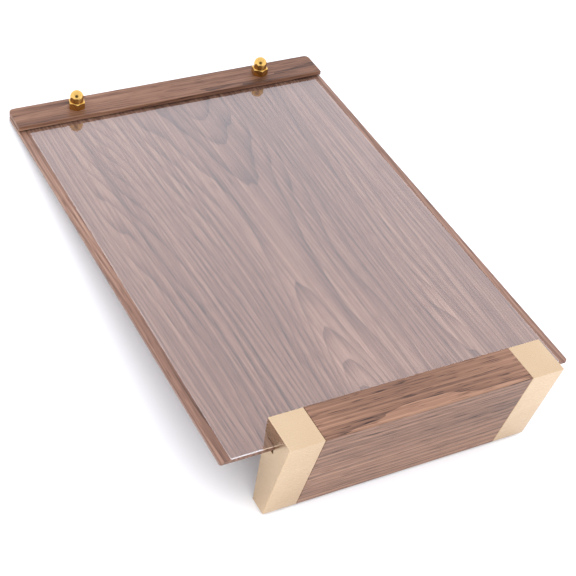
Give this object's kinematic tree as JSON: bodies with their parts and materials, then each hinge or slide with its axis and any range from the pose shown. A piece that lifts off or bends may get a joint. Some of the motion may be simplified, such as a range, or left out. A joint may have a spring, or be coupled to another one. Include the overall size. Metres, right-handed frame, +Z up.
{
  "type": "photo album stand",
  "caption": "Table-top display stand for a single sheet: walnut board, clear cover, clamp bar with domed cap nuts and a wedge-shaped base with gold metal ends.",
  "frame": {"origin": "on the table under the middle of the stand's footprint, with the stand lying on its back: it rests on the base's rear edge and on the two bolt heads", "axes": "+X across the board to its right as seen from the base, +Y from the base towards the clamp bar, +Z up"},
  "size_m": [0.222, 0.3382, 0.0721],
  "materials": {
    "board_wood": "walnut veneer, matt lacquer",
    "bar_wood": "walnut, satin lacquer",
    "base_wood": "walnut, satin lacquer",
    "clear_acrylic": "clear, polished edges",
    "cap_metal": "satin gold anodised",
    "nut_brass": "polished gold",
    "bolt_brass": "polished gold",
    "dowel_steel": "ground"
  },
  "bodies": {
    "board": {"back_board": "board_wood", "left_clamp_bolt": "bolt_brass", "right_clamp_bolt": "bolt_brass"},
    "cover": {"acrylic_cover": "clear_acrylic"},
    "clamp": {"clamp_bar": "bar_wood"},
    "left_nut": {"left_cap_nut": "nut_brass"},
    "right_nut": {"right_cap_nut": "nut_brass"},
    "base": {"base_core": "base_wood", "left_end_cap": "cap_metal", "right_end_cap": "cap_metal", "left_front_dowel": "dowel_steel", "left_rear_dowel": "dowel_steel", "right_front_dowel": "dowel_steel", "right_rear_dowel": "dowel_steel"}
  },
  "joints": [
    {"name": "clamp_lift", "type": "slide", "parent": "board", "child": "clamp", "axis": [0, 0.1611, 0.9869], "range_m": [0, 0.003]},
    {"name": "left_nut_turn", "type": "hinge", "parent": "clamp", "child": "left_nut", "pos_m": [-0.0675, 0.15854, 0.00958], "axis": [0, 0.1611, 0.9869], "range_deg": [0, 1080]},
    {"name": "right_nut_turn", "type": "hinge", "parent": "clamp", "child": "right_nut", "pos_m": [0.0675, 0.15854, 0.00958], "axis": [0, 0.1611, 0.9869], "range_deg": [0, 1080]},
    {"name": "cover_tilt", "type": "hinge", "parent": "board", "child": "cover", "pos_m": [0, -0.15509, 0.05752], "axis": [1, 0, 0], "range_deg": [0, 0.3]},
    {"name": "base_pull", "type": "slide", "parent": "board", "child": "base", "axis": [0, -0.9869, 0.1611], "range_m": [0, 0.03]}
  ],
  "couplings": [
    {"joint": "left_nut_turn", "follows": "clamp_lift", "rad_per_m": 6283.2},
    {"joint": "right_nut_turn", "follows": "clamp_lift", "rad_per_m": 6283.2},
    {"joint": "cover_tilt", "follows": "clamp_lift", "rad_per_m": 1.7453}
  ]
}
